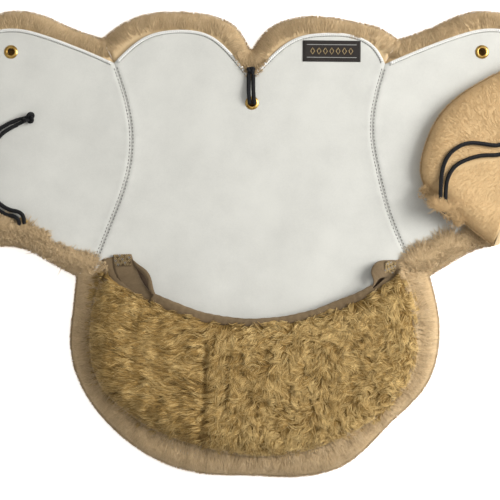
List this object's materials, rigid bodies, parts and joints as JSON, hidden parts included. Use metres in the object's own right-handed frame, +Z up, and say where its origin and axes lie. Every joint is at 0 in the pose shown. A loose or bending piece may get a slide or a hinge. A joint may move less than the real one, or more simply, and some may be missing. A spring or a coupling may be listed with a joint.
{
  "type": "saddle seat cover",
  "caption": "Sheepskin seat saver for a riding saddle: wool outside, woven lining inside, two folding side wings, an elasticated cantle pocket and cord ties.",
  "frame": {"origin": "on the surface that the wool rests on, on the seat's centre line, level with the middle of the seat's length", "axes": "+Y to the front (pommel) of the saddle, +X to the right as seen from the lining side, +Z up through the lining"},
  "size_m": [0.6733, 0.4712, 0.0529],
  "materials": {
    "wool_smooth": "combed sheepskin wool",
    "wool_curly": "curly golden sheepskin wool",
    "lining": "fine matt woven lining",
    "elastic": "brown knitted elastic and binding tape",
    "thread_grey": "sewing thread",
    "thread_white": "overlock thread",
    "thread_gold": "zigzag sewing thread",
    "brass": "polished pressed brass",
    "cord_black": "braided round cord",
    "label": "woven satin label"
  },
  "bodies": {
    "seat": {"seat_sheepskin": "wool_smooth", "seat_lining": "lining", "left_wing_root_sheepskin": "wool_smooth", "left_wing_root_lining": "lining", "right_wing_root_sheepskin": "wool_smooth", "right_wing_root_lining": "lining", "left_seam_stitching": "thread_grey", "right_seam_stitching": "thread_grey", "left_lobe_overlock": "thread_white", "right_lobe_overlock": "thread_white", "pocket_sheepskin": "wool_curly", "pocket_lining": "lining", "mouth_binding": "elastic", "mouth_elastic": "elastic", "left_elastic_tab": "elastic", "right_elastic_tab": "elastic", "left_bartack": "thread_gold", "right_bartack": "thread_gold", "left_elastic_loop": "elastic", "right_elastic_loop": "elastic", "label": "label", "label_stitching": "thread_grey", "front_grommet": "brass", "front_washer": "brass", "front_tie_strand_a": "cord_black", "front_tie_strand_b": "cord_black", "front_tie_knot": "cord_black"},
    "left_wing": {"left_wing_sheepskin": "wool_smooth", "left_wing_lining": "lining", "left_wing_overlock": "thread_white", "left_tie_grommet": "brass", "left_tie_washer": "brass", "left_eyelet_grommet": "brass", "left_eyelet_washer": "brass", "left_tie_strand_a": "cord_black", "left_tie_strand_b": "cord_black", "left_tie_knot": "cord_black"},
    "right_wing": {"right_wing_sheepskin": "wool_smooth", "right_wing_lining": "lining", "right_wing_overlock": "thread_white", "right_eyelet_grommet": "brass", "right_eyelet_washer": "brass"},
    "right_wing_tip": {"right_tip_sheepskin": "wool_smooth", "right_tip_lining": "lining", "right_tie_strand_a": "cord_black", "right_tie_strand_b": "cord_black", "right_tie_knot": "cord_black"}
  },
  "joints": [
    {"name": "left_wing_fold", "type": "hinge", "parent": "seat", "child": "left_wing", "pos_m": [-0.1395, 0.1, 0.024], "axis": [0, 1, 0], "range_deg": [0, 80]},
    {"name": "right_wing_fold", "type": "hinge", "parent": "seat", "child": "right_wing", "pos_m": [0.1395, 0.1, 0.024], "axis": [0, -1, 0], "range_deg": [0, 80]},
    {"name": "right_tip_fold", "type": "hinge", "parent": "right_wing", "child": "right_wing_tip", "pos_m": [0.2394, 0, 0.02235], "axis": [0.3264, 0.9452, 0], "range_deg": [0, 165]}
  ]
}
